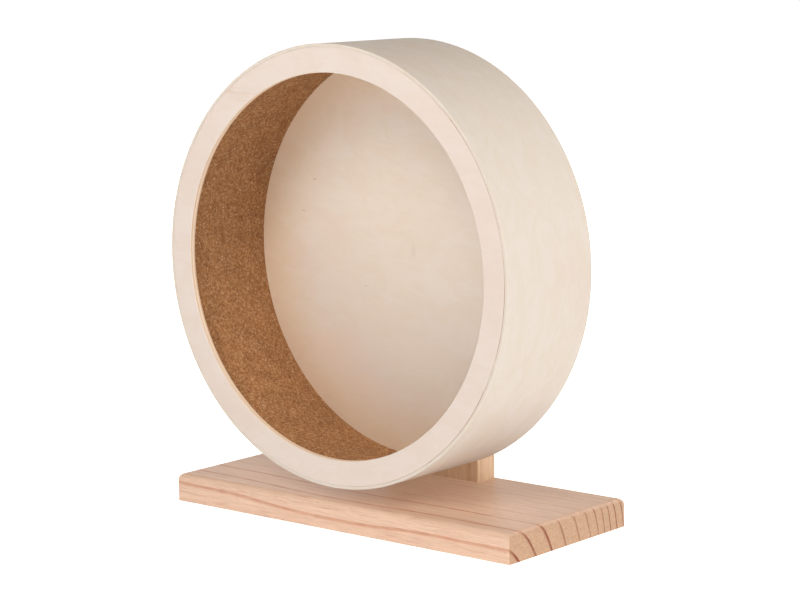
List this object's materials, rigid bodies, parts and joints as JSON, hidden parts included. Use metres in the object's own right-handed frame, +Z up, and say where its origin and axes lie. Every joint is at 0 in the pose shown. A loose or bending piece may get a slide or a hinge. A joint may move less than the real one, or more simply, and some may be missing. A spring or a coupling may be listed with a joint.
{
  "type": "rodent exercise wheel",
  "caption": "Free-standing exercise wheel: a cork-lined wooden drum, open at the front, that turns on ball bearings in an upright board on a flat base board.",
  "frame": {"origin": "centre of the base board's underside, on the surface that the wheel stands on", "axes": "+Z up; the drum opens towards -Y and turns about a line parallel to Y; +X to the right as seen from the open front"},
  "size_m": [0.28, 0.1303, 0.308],
  "materials": {
    "base_pine": "planed and sanded pine, unvarnished",
    "post_pine": "planed and sanded pine, unvarnished",
    "ring_plywood": "pale sanded plywood",
    "hoop_plywood": "pale bent plywood, sanded",
    "disc_plywood": "pale sanded plywood",
    "boss_plywood": "plywood with visible layers at its rim",
    "cork": "pressed cork granules, matt",
    "zinc_steel": "bright zinc plated",
    "bearing_steel": "ground and polished",
    "shield_steel": "pressed sheet steel",
    "cage_steel": "pressed sheet steel",
    "nylon": "blue nylon ring"
  },
  "bodies": {
    "stand": {"base_board": "base_pine", "upright_post": "post_pine", "post_screws": "zinc_steel", "front_outer_race": "bearing_steel", "rear_outer_race": "bearing_steel", "front_bearing_front_shield": "shield_steel", "front_bearing_back_shield": "shield_steel", "rear_bearing_front_shield": "shield_steel", "rear_bearing_back_shield": "shield_steel"},
    "wheel": {"front_ring": "ring_plywood", "running_hoop": "hoop_plywood", "cork_lining": "cork", "back_disc": "disc_plywood", "hub_boss": "boss_plywood", "axle_bolt": "zinc_steel", "hub_washer": "zinc_steel", "front_spacer": "zinc_steel", "front_inner_race": "bearing_steel", "centre_sleeve": "zinc_steel", "rear_inner_race": "bearing_steel", "rear_spacer": "zinc_steel", "nut_washer": "zinc_steel", "axle_nut": "zinc_steel", "nut_insert": "nylon"},
    "front_ball_set": {"front_bearing_cage": "cage_steel", "front_bearing_balls": "bearing_steel"},
    "rear_ball_set": {"rear_bearing_cage": "cage_steel", "rear_bearing_balls": "bearing_steel"}
  },
  "joints": [
    {"name": "wheel_spin", "type": "hinge", "parent": "stand", "child": "wheel", "pos_m": [0, 0, 0.168], "axis": [0, 1, 0], "continuous": true},
    {"name": "front_balls_spin", "type": "hinge", "parent": "stand", "child": "front_ball_set", "pos_m": [0, 0.0415, 0.168], "axis": [0, 1, 0], "continuous": true},
    {"name": "rear_balls_spin", "type": "hinge", "parent": "stand", "child": "rear_ball_set", "pos_m": [0, 0.0525, 0.168], "axis": [0, 1, 0], "continuous": true}
  ],
  "couplings": [
    {"joint": "front_balls_spin", "follows": "wheel_spin", "ratio": 0.3678},
    {"joint": "rear_balls_spin", "follows": "wheel_spin", "ratio": 0.3678}
  ]
}
